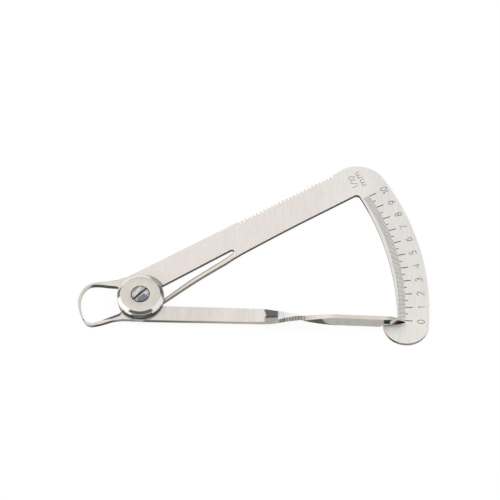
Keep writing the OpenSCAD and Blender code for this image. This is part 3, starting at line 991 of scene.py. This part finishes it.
def grip():
    notch = [
        (GRIP_HALF_W, BAR_ABOVE),
        (GRIP_FLOOR_HALF_W, BAR_ABOVE - GRIP_DEPTH),
        (-GRIP_FLOOR_HALF_W, BAR_ABOVE - GRIP_DEPTH),
        (-GRIP_HALF_W, BAR_ABOVE),
    ]
    starts = [GRIP_START + i * GRIP_PITCH for i in reversed(range(GRIP_COUNT))]
    return [on_bar(s + along, n) for s in starts for along, n in notch]


def scale_outline():
    """The sheet's outline, and the number of the edge that the leaf's root covers."""
    path = jaw_and_hub() + spring_slot()
    root = len(tidy_loop(path)) - 1
    return tidy_loop(path + window() + rim() + grip()), root


def hole(centre, r, step=6):
    return tidy_loop(arc(centre, r, 360, 0, step))


outline, root_edge = scale_outline()
amounts = edge_widths(outline, upper_jaw_edge)
amounts[root_edge] = 0.0
bore = hole((0, 0), BUSH_R + FIXED_GAP)
scale = Build()
scale.sheet([outline, bore], thinned, flat(PLATE_T), [amounts, [EDGE] * len(bore)], facet=WALL)
scale_arm = scale.finish("scale_plate", [face_scale, cut_scale])
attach(scale_arm, "frame")
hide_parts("scale_arm")

# Leaf spring, a strip curved at its root and running to the pin
LEAF_STEPS = 60
LEAF_BEND_STEPS = 12
LEAF_EDGE = 0.25
LEAF_FRONT_EDGE = 0.1
LEAF_EDGE_MATERIAL = 2
# The leaf's inner side stands off its solid's by these amounts, by distance along the bar
leaf_bow = along_curve([(5, 0), (8, 0.07), (15, 0.31), (20, 0.12), (24, -0.04), (28, -0.16), (31, 0)])


def leaf_side(r, rise):
    bend = [LEAF_BEND + polar(r, 90 + LEAF_ANGLE * i / LEAF_BEND_STEPS) for i in range(LEAF_BEND_STEPS + 1)]
    start = LEAF_BEND - r * LEAF_OUT
    run = [start - LEAF_L * LEAF_ALONG * i / LEAF_STEPS for i in range(1, LEAF_STEPS + 1)]
    return [turned(p + vec(0, rise(p[0])), BAR_ANGLE) for p in bend + run]


leaf_outline = leaf_side(LEAF_BEND_R + LEAF_W / 2, leaf_bow)
leaf_outline += leaf_side(LEAF_BEND_R - LEAF_W / 2, lambda s: -root_swell(s))[::-1]
half_count = len(leaf_outline) // 2
leaf_amounts = [LEAF_EDGE] * half_count + [LEAF_FRONT_EDGE] * half_count
leaf_amounts[-1] = 0.0
last = len(leaf_outline) - 1
leaf = Build()
leaf.sheet(
    [leaf_outline],
    flat(0),
    flat(PLATE_T),
    [leaf_amounts],
    caps=[(i, i + 1, last - 1 - i, last - i) for i in range(last // 2)],
    facet=LEAF_EDGE_MATERIAL,
)
leaf_piece = leaf.finish("leaf_strip", [face_leaf, cut_leaf, edge_leaf])
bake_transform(leaf_piece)
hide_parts("leaf_spring")

# Index arm: flat hub, bar and jaw, then the quarter twist and the upright blade
POINTER = polar(POINTER_R, POINTER_ANGLE - INDEX_ANGLE)
BACK_Y = POINTER[1]
FRONT_Y = BACK_Y - INDEX_T
BLADE_X = TWIST_START + TWIST_L
NOTCH_R = ARC_OUTER_R - 2 * LOBE_R - NOTCH_GAP
NOTCH_X = math.sqrt(NOTCH_R**2 - FRONT_Y**2)
POINT_Z = PLATE_T + POINTER_GAP
FALL = math.tan(math.radians(BLADE_PITCH))
BLADE_START_Z = BLADE_FLOOR + (NOTCH_X - BLADE_X) * FALL
GROUND_X = POINTER[0] - POINT_L
RAMP_END = RAMP_START + RAMP_L
# The lower jaw lies below this y
LOWER_JAW_TOP = -3
# The pointer's ground end keeps its height and thickness longer than a straight taper would
POINT_BELLY = 2.6
FRONT_BELLY = 1.5
POINT_END_H = 0.5
POINT_RISE = 0.1
# Bands across the wide sides of the twist and the blade, and across the narrow ones with their chamfers
WIDE_STEPS = 6
NARROW_STEPS = 3
# Rows along the twist, of which the first are polished, and along the blade and its ground end
TWIST_STEPS = 202
POLISHED_ROWS = 56
BLADE_STEPS = 14
POINT_STEPS = 16
# The twist begins softly, over this share of its length before and after its start
SOFT_START = 0.1
BEND_START = TWIST_START - SOFT_START * TWIST_L
# The middle of the twist stands a little further back than a straight line, by distance along the arm
twist_bow = along_curve([(38.5, 0), (41, 0.22), (43.4, 0.32), (45.4, 0.28), (47.2, 0.05), (48.5, 0)])
# Fine grooves across the edge that turns upwards in the twist: two of every four rows are pushed in
GROOVE_ROWS = 4
GROOVE_ENDS = (41.2, 47.4)
GROOVE_DEPTH = 0.08
# The points of a section that lie on that edge
GROOVED_POINTS = (0, -3, -2, -1)
# Numbers of the index arm's materials
EDGE_MATERIAL, FRONT_MATERIAL, POLISH_MATERIAL = 1, 2, 3
GROOVE_MATERIAL, WHITE_MATERIAL, FACET_MATERIAL = 4, 5, 6


def ramp_share(p):
    return min(max((-RAMP_START - p[0]) / RAMP_L, 0), 1)


def index_bottom(p):
    return INDEX_Z * (1 - ramp_share(p)) + thinned(p)


def index_top(p):
    return INDEX_TOP + (PLATE_T - INDEX_TOP) * ramp_share(p)


def bar_width(x):
    return INDEX_ROOT_W + (INDEX_END_W - INDEX_ROOT_W) * min(x / TWIST_START, 1)


def bar_point(x, side):
    return turned(vec(x, -INDEX_OFFSET + side * bar_width(x) / 2), INDEX_ANGLE)


def index_outline():
    """The flat part's outline; its last edges lie across the bar's end, where the twist begins."""
    upper = [bar_point(BEND_START - i, 1) for i in range(int(BEND_START))] + [bar_point(0, 1)]
    upper = cut(upper, lambda p: INDEX_HUB_R - np.linalg.norm(p))
    outer, inner = lower_jaw_sides()
    for at in (-RAMP_START, -RAMP_END):
        outer = with_crossings(outer, lambda p: p[0] - at)
        inner = with_crossings(inner, lambda p: p[0] - at)
    inner = after(inner, lambda p: np.linalg.norm(p) - INDEX_HUB_R)
    path = upper + arc((0, 0), INDEX_HUB_R, angle_of(upper[-1]), 360 + angle_of(inner[0]))[1:] + inner[1:]
    join = bar_point(0, -1)
    path += [p for p in outer[::-1] if p[0] < join[0] - 0.1] + [join]
    path += [bar_point(i, -1) for i in range(1, int(BEND_START) + 1)] + [bar_point(BEND_START, -1)]
    inner_half = bar_width(BEND_START) / 2 - EDGE
    for k in range(1, WIDE_STEPS):
        off = mixed(-inner_half, inner_half, k / WIDE_STEPS)
        path.append(turned(vec(BEND_START, off - INDEX_OFFSET), INDEX_ANGLE))
    return tidy_loop(path)


def bends(loop):
    """Pairs of points where the jaw's bend lines cross its two sides."""
    out = []
    for at in (-RAMP_START, -RAMP_END):
        hits = [i for i, p in enumerate(loop) if abs(p[0] - at) < 1e-6 and p[1] < LOWER_JAW_TOP]
        out.append((hits[0], hits[-1]))
    return out


def section(x, y, z, across, through):
    """Points of a chamfered rectangle, from the front of its lower side round to its front."""
    la, lt = np.linalg.norm(across), np.linalg.norm(through)
    ca, ct = across * (1 - EDGE / la), through * (1 - EDGE / lt)
    offsets = [mixed(-ca, ca, k / WIDE_STEPS) - through for k in range(WIDE_STEPS + 1)]
    offsets += [across - ct, across + ct]
    offsets += [mixed(ca, -ca, k / WIDE_STEPS) + through for k in range(WIDE_STEPS + 1)]
    offsets += [ct - across, -across - ct]
    return [vec(*turned(vec(x, y + k[0]), INDEX_ANGLE), z + k[1]) for k in offsets]


def ease(x):
    """Share of the quarter turn that is done at a place along the arm."""
    t = (x - TWIST_START) / TWIST_L
    if t < SOFT_START:
        t = (t + SOFT_START) ** 2 / (4 * SOFT_START)
    return 1 - (1 - t) ** TWIST_EARLY


def twist_section(x):
    e = ease(x)
    turn = math.radians(90 * e)
    half_w = (bar_width(x) + (BLADE_H - INDEX_END_W) * e) / 2
    y = mixed(-INDEX_OFFSET, BACK_Y - INDEX_T / 2, e) + twist_bow(x)
    z = mixed(INDEX_Z + INDEX_T / 2, BLADE_START_Z + BLADE_H / 2, e)
    across = half_w * vec(math.cos(turn), -math.sin(turn))
    through = INDEX_T / 2 * vec(math.sin(turn), math.cos(turn))
    return section(x, y, z, across, through)


def blade_section(x, low):
    """A section of the blade above a height; the point narrows to its end from both sides."""
    share = min(max((x - GROUND_X) / POINT_L, 0), 1)
    low = low + POINT_RISE * share**4
    ground = share**POINT_BELLY
    front = mixed(FRONT_Y, BACK_Y - POINT_T, share**FRONT_BELLY)
    start_top = BLADE_START_Z + BLADE_H
    high = start_top - (x - BLADE_X) * FALL
    if ground > 0:
        high = mixed(start_top - (GROUND_X - BLADE_X) * FALL, POINT_Z + POINT_END_H, ground)
    across = vec(0, -(high - low) / 2)
    through = vec((BACK_Y - front) / 2, 0)
    return section(x, (BACK_Y + front) / 2, (high + low) / 2, across, through)


def twist_x(i):
    return mixed(BEND_START, BLADE_X, i / TWIST_STEPS)


def is_groove(i):
    return GROOVE_ENDS[0] < twist_x(i) < GROOVE_ENDS[1] and i % GROOVE_ROWS in (1, 2)


def twist_row(i):
    row = twist_section(twist_x(i))
    if is_groove(i):
        inward = row[1] - row[0]
        inward *= GROOVE_DEPTH / np.linalg.norm(inward)
        for k in GROOVED_POINTS:
            row[k] = row[k] + inward
    return row


def blade_rows():
    xs = [BLADE_X + (NOTCH_X - BLADE_X) * i / BLADE_STEPS for i in range(1, BLADE_STEPS + 1)]
    out = [blade_section(x, BLADE_START_Z - (x - BLADE_X) * FALL) for x in xs]
    xs = [NOTCH_X] + [GROUND_X + POINT_L * i / POINT_STEPS for i in range(POINT_STEPS + 1)]
    return out + [blade_section(x, POINT_Z) for x in xs]


def band_materials(i):
    """Materials round the twist and the blade between two rows."""
    edge = GROOVE_MATERIAL if i < TWIST_STEPS and is_groove(i + 1) else EDGE_MATERIAL
    top = POLISH_MATERIAL if i < POLISHED_ROWS else WHITE_MATERIAL
    low = [FRONT_MATERIAL] * WIDE_STEPS + [EDGE_MATERIAL] * NARROW_STEPS
    return low + [top] * WIDE_STEPS + [edge] * NARROW_STEPS


index_loop = index_outline()
index_amounts = edge_widths(index_loop, lower_jaw_edge)
end_edges = range(len(index_loop) - WIDE_STEPS, len(index_loop))
for i in end_edges:
    index_amounts[i] = 0.0
index_holes = [hole((0, 0), BUSH_R + BEARING_GAP), hole(turned(PIN_AT, BAR_ANGLE), PIN_R + FIXED_GAP, 15)]
index = Build()
index.sheet(
    [index_loop] + index_holes,
    index_bottom,
    index_top,
    [index_amounts] + [[EDGE] * len(h) for h in index_holes],
    open_edges=end_edges,
    extra=bends(index_loop),
    facet=FACET_MATERIAL,
)
rings = [index.ring(row) for row in [twist_row(i) for i in range(TWIST_STEPS + 1)] + blade_rows()]
for i, (a, b) in enumerate(zip(rings, rings[1:])):
    index.band(a, b, materials=band_materials(i))
index.face(rings[-1], FRONT_MATERIAL)
index_steels = [face_index, edge_index, front_index, twist_polish, groove_steel, twist_white, facet_shade_steel]
index_arm = index.finish("index_plate", index_steels)
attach(index_arm, "index")
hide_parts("index_arm")

# Pivot disc with a polished bevel over a foot painted dark as shade
FOOT_H = 0.95
FOOT_ROUND = 0.12
RIM_ROUND = 0.35
FACE_ROUND = 0.07
SEAT_ROUND = 0.1
ROUND_STEPS = 5
# Painted shade: the foot and the recess under the screw head take this near-black material
SHADE_MATERIAL = 2
# Steepest rise of a profile that still counts as flat
FLAT_RISE = 0.2
SEAT_R = HEAD_R + HEAD_GAP
SEAT_Z = DISC_TOP - HEAD_H
SHANK_R = SCREW_R + FIXED_GAP


def rounded(corners):
    """A profile from corners of radius, height and reach of the rounding."""
    out = []
    for i, (r, z, reach) in enumerate(corners):
        corner = vec(r, z)
        if not reach:
            out.append(corner)
            continue
        u, v = unit(vec(*corners[i - 1][:2]) - corner), unit(vec(*corners[i + 1][:2]) - corner)
        for k in range(ROUND_STEPS + 1):
            t = k / ROUND_STEPS
            out.append(corner + reach * ((1 - t) ** 2 * u + t**2 * v))
    return out


disc_profile = rounded([
    (SHANK_R, DISC_Z, 0),
    (DISC_R, DISC_Z, FOOT_ROUND),
    (DISC_R, DISC_Z + FOOT_H, 0),
    (DISC_R, DISC_Z + DISC_RIM_H, RIM_ROUND),
    (DISC_TOP_R, DISC_TOP, FACE_ROUND),
    (SEAT_R, DISC_TOP, FACE_ROUND),
    (SEAT_R, SEAT_Z, SEAT_ROUND),
    (SHANK_R, SEAT_Z, 0),
    (SHANK_R, DISC_Z, 0),
])


def disc_material(i):
    (r0, z0), (r1, z1) = disc_profile[i], disc_profile[i + 1]
    if max(z0, z1) <= DISC_Z + FOOT_H + 1e-6 or max(r0, r1) <= SEAT_R:
        return SHADE_MATERIAL
    return FACE if abs(z1 - z0) < FLAT_RISE * abs(r1 - r0) else WALL


disc = Build()
disc.revolve(disc_profile, material_of=disc_material)
pivot_disc = disc.finish("pivot_cap", [disc_satin, disc_polish, disc_shade])
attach(pivot_disc, "frame")
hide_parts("pivot_disc")

# Slotted screw
CROWN_STEPS = 12
CROWN_R = HEAD_R - 0.1
CROWN_FALL = 0.06
# The head's edge leans in by the first of these over the height of the second
HEAD_LEAN = (0.03, 0.08)
CUTTER_PAST = 1


def screw_profile():
    shares = [i / CROWN_STEPS for i in reversed(range(CROWN_STEPS + 1))]
    crown = [(CROWN_R * share, DISC_TOP + HEAD_CROWN - CROWN_FALL * share**2) for share in shares]
    shank = [(0, 0), (SCREW_R, 0), (SCREW_R, SEAT_Z)]
    head = [(HEAD_R, SEAT_Z), (HEAD_R, DISC_TOP), (HEAD_R - HEAD_LEAN[0], DISC_TOP + HEAD_LEAN[1])]
    return shank + head + crown


def slot_block():
    """A block over the screw's head, as wide as its slot."""
    reach, half = HEAD_R + CUTTER_PAST, SLOT_W / 2
    corners = ((-reach, -half), (reach, -half), (reach, half), (-reach, half))
    plan = [turned(vec(*c), SLOT_ANGLE) for c in corners]
    b = Build()
    low = b.ring([(*p, DISC_TOP + HEAD_CROWN - SLOT_DEPTH) for p in plan])
    high = b.ring([(*p, DISC_TOP + CUTTER_PAST) for p in plan])
    b.band(low, high)
    b.face(low[::-1])
    b.face(high)
    return b.finish("slot_cutter", [slot_steel])


def cut_slot(o):
    block = slot_block()
    slotting = o.modifiers.new("slot", "BOOLEAN")
    slotting.object = block
    slotting.operation = "DIFFERENCE"
    slotting.solver = "EXACT"
    slotting.material_mode = "TRANSFER"
    bpy.context.view_layer.update()
    slotted = bpy.data.meshes.new_from_object(o.evaluated_get(bpy.context.evaluated_depsgraph_get()))
    o.modifiers.clear()
    o.data = slotted
    bpy.data.objects.remove(block)
    bm = bmesh.new()
    bm.from_mesh(slotted)
    for e in bm.edges:
        e.smooth = len(e.link_faces) == 2 and e.calc_face_angle(0) < math.radians(SHARP_TURN)
    bm.to_mesh(slotted)
    bm.free()


screw = Build()
screw.revolve(screw_profile())
pivot_screw = screw.finish("slotted_screw", [screw_polish])
cut_slot(pivot_screw)
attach(pivot_screw, "frame")
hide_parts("pivot_screw")

# Scale marks and numerals, printed on the plate's face
MARK_Z = PLATE_T + 0.006
PER_MM = SWING / JAW_OPENING
MARKS_PER_MM = 10
MARK_START_R = 74.0
MARK_END_R = 76.0
MARK_STROKE = 0.13
HALF_END_R = 76.8
HALF_STROKE = 0.25
FULL_END_R = 78.16
FULL_STROKE = 0.27
NUMERAL_R = 80.55
NUMERAL_H = 2.0
NUMERAL_STROKE = 0.175
# From this numeral on they drift outwards and back, by these amounts at the last one
DRIFT_FROM = 6
DRIFT_OUT = 0.4
DRIFT_BACK = 0.25
# Unit mark: text, place, direction and height of each line
UNIT_MARK = [("1/10", (62.18, 41.12), 110, 1.8), ("mm", (64.1, 42.3), 116, 2.1)]
UNIT_STROKE = 0.14


def ribbon(b, points, width):
    """A flat stroke along a line of plan points."""
    left, right = [], []
    n = len(points)
    for i in range(n):
        d = unit(points[min(i + 1, n - 1)] - points[max(i - 1, 0)])
        side = vec(-d[1], d[0]) * width / 2
        left.append((*(points[i] + side), MARK_Z))
        right.append((*(points[i] - side), MARK_Z))
    b.band(b.ring(right), b.ring(left), closed=False)


def oval(cx, cy, rx, ry, a0=0, a1=360):
    n = max(6, int(abs(a1 - a0) / 12))
    return [vec(cx, cy) + vec(rx, ry) * polar(1, a0 + (a1 - a0) * i / n) for i in range(n + 1)]


def line(*points):
    return [vec(*p) for p in points]


# Signs as strokes in a cell one unit high, and the room that each takes in a row
SIGNS = {
    "0": [oval(0.3, 0.5, 0.28, 0.5)],
    "1": [line((0.12, 0.75), (0.32, 1.0), (0.32, 0.0))],
    "2": [oval(0.3, 0.72, 0.27, 0.28, 170, -30) + line((0.03, 0.0), (0.6, 0.0))],
    "3": [oval(0.27, 0.75, 0.26, 0.25, 150, -90) + oval(0.27, 0.26, 0.3, 0.26, 90, -150)],
    "4": [line((0.45, 0.0), (0.45, 1.0), (0.02, 0.3), (0.62, 0.3))],
    "5": [line((0.55, 1.0), (0.12, 1.0), (0.07, 0.55)) + oval(0.28, 0.31, 0.29, 0.31, 125, -140)],
    "6": [oval(0.3, 0.3, 0.28, 0.3, 90, 450), line((0.47, 0.99), (0.2, 0.75), (0.04, 0.4))],
    "7": [line((0.03, 1.0), (0.58, 1.0), (0.22, 0.0))],
    "8": [oval(0.3, 0.76, 0.23, 0.24), oval(0.3, 0.26, 0.28, 0.26)],
    "9": [oval(0.3, 0.7, 0.28, 0.3, 270, 630), line((0.13, 0.01), (0.4, 0.25), (0.56, 0.6))],
    "/": [line((0.05, -0.1), (0.55, 1.05))],
    "m": [
        line((0.05, 0.0), (0.05, 0.62)),
        oval(0.3, 0.42, 0.25, 0.2, 180, 0) + line((0.55, 0.0)),
        oval(0.8, 0.42, 0.25, 0.2, 180, 0) + line((1.05, 0.0)),
    ],
}
ROOM = {"1": 0.62, "/": 0.62, "m": 1.4}
USUAL_ROOM = 0.8
SIGN_MARGIN = 0.1


def write(b, text, centre, right, up, height, stroke):
    """Signs in a row about a centre; right and up are plan directions."""
    rooms = [ROOM.get(sign, USUAL_ROOM) for sign in text]
    x = -sum(rooms) / 2 + SIGN_MARGIN
    for sign, room in zip(text, rooms):
        for path in SIGNS[sign]:
            ribbon(b, [centre + height * ((p[0] + x) * right + (p[1] - 0.5) * up) for p in path], stroke)
        x += room


marks = Build()
for i in range(JAW_OPENING * MARKS_PER_MM + 1):
    a = ZERO_ANGLE + PER_MM * i / MARKS_PER_MM
    ribbon(marks, [polar(MARK_START_R, a), polar(MARK_END_R, a)], MARK_STROKE)
    if i % MARKS_PER_MM == 0:
        ribbon(marks, [polar(MARK_END_R, a), polar(FULL_END_R, a)], FULL_STROKE)
    elif i % (MARKS_PER_MM // 2) == 0:
        ribbon(marks, [polar(MARK_END_R, a), polar(HALF_END_R, a)], HALF_STROKE)
for i in range(JAW_OPENING + 1):
    late = max(i - DRIFT_FROM, 0) / (JAW_OPENING - DRIFT_FROM)
    a = ZERO_ANGLE + PER_MM * i - DRIFT_BACK * late
    centre = polar(NUMERAL_R + DRIFT_OUT * late, a)
    write(marks, str(i), centre, polar(1, a + 90), polar(-1, a), NUMERAL_H, NUMERAL_STROKE)
for text, place, turn, height in UNIT_MARK:
    write(marks, text, vec(*place), polar(1, turn), polar(1, turn + 90), height, UNIT_STROKE)
scale_marks = marks.finish("scale_marks", [mark_ink])
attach(scale_marks, "frame")

# The bush and the pin keep their solids
for o in scene.objects:
    if o.get("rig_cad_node") in ("pivot_bush", "spring_pin"):
        o.data.materials.clear()
        o.data.materials.append(hidden_steel)

# Floor, world and camera
FLOOR_HALF_W = 3.0 / MM
FLOOR_Z = -0.02
CAMERA_AT = (0.03139, -0.3141, 0.5229)
CAMERA_TILT = 32.418
CAMERA_LENS = 152.5
SENSOR_W = 36


def make_floor():
    """White paper that takes soft shadows, and looks white to the camera and in the steel."""
    m, g = new_material("floor")
    ray = g.add("ShaderNodeLightPath").outputs
    mirrored = g.math("MAXIMUM", ray["Is Glossy Ray"], ray["Is Transmission Ray"])
    shown = g.math("MAXIMUM", ray["Is Camera Ray"], mirrored)
    paper = g.add("ShaderNodeBsdfDiffuse", {"Color": (0.9, 0.9, 0.9, 1)})
    white = g.add("ShaderNodeEmission", {"Color": (1, 1, 1, 1), "Strength": 1.04})
    share = g.math("MULTIPLY", shown, 0.88)
    both = g.add("ShaderNodeMixShader", {0: share, 1: paper.outputs[0], 2: white.outputs[0]})
    g.add("ShaderNodeOutputMaterial", {"Surface": both.outputs[0]})
    b = Build()
    s = FLOOR_HALF_W
    b.face(b.ring([(-s, -s, FLOOR_Z), (s, -s, FLOOR_Z), (s, s, FLOOR_Z), (-s, s, FLOOR_Z)]))
    o = b.finish("floor", [m])


def make_world():
    """A light tent with a bright card ahead and dark screens at its sides, far and near, by direction."""
    w = bpy.data.worlds.new("studio")
    w.use_nodes = True
    scene.world = w
    g = Nodes(w.node_tree)
    x, y, z = g.parts(g.add("ShaderNodeTexCoord").outputs["Generated"])
    level = g.math("SQRT", g.math("ADD", g.math("MULTIPLY", x, x), g.math("MULTIPLY", y, y)))
    level = g.math("MAXIMUM", level, 0.001)
    ahead, aside = g.math("DIVIDE", y, level), g.math("DIVIDE", x, level)
    slanted = g.math("SUBTRACT", z, g.math("MULTIPLY", x, 0.25))
    card = g.between((ahead, 0.2, 0.5), (z, 0.76, 0.78), (z, 0.99, 0.95))
    side = g.between((ahead, 0.36, 0.42), (ahead, 0.88, 0.82), (z, 0.0, 0.03), (z, 0.33, 0.3))
    far = g.between((ahead, 0.58, 0.64), (x, -0.2, -0.14), (z, 0.2, 0.22), (slanted, 0.775, 0.76))
    near = g.between(
        (y, 0.0, -0.02), (aside, -0.84, -0.76), (aside, 0.86, 0.78), (z, 0.56, 0.62), (z, 0.92, 0.86)
    )
    side_grey = g.mix(g.step(x, -0.1, 0.1), (0.22, 0.23, 0.2, 1), (0.42, 0.42, 0.41, 1))
    light = g.mix(g.step(aside, -0.2, -0.5), (1, 1, 1, 1), (1.25, 1.25, 1.25, 1))
    light = g.mix(card, light, (1.38, 1.38, 1.38, 1))
    light = g.mix(side, light, side_grey)
    light = g.mix(far, light, (0.25, 0.25, 0.248, 1))
    light = g.mix(near, light, (0.13, 0.14, 0.15, 1))
    light = g.mix(g.add("ShaderNodeLightPath").outputs["Is Camera Ray"], light, (1, 1, 1, 1))
    back = g.add("ShaderNodeBackground", {"Color": light, "Strength": 1.0})
    g.add("ShaderNodeOutputWorld", {"Surface": back.outputs[0]})


def make_camera():
    data = bpy.data.cameras.new("photo_camera")
    data.sensor_width = SENSOR_W
    data.lens = CAMERA_LENS
    data.clip_start = 0.01
    data.clip_end = 10
    o = bpy.data.objects.new("photo_camera", data)
    o.location = CAMERA_AT
    o.rotation_euler = (math.radians(CAMERA_TILT), 0, 0)
    scene.collection.objects.link(o)
    scene.camera = o


make_floor()
make_world()
make_camera()
scene.view_settings.view_transform = "Standard"

bpy.context.view_layer.update()
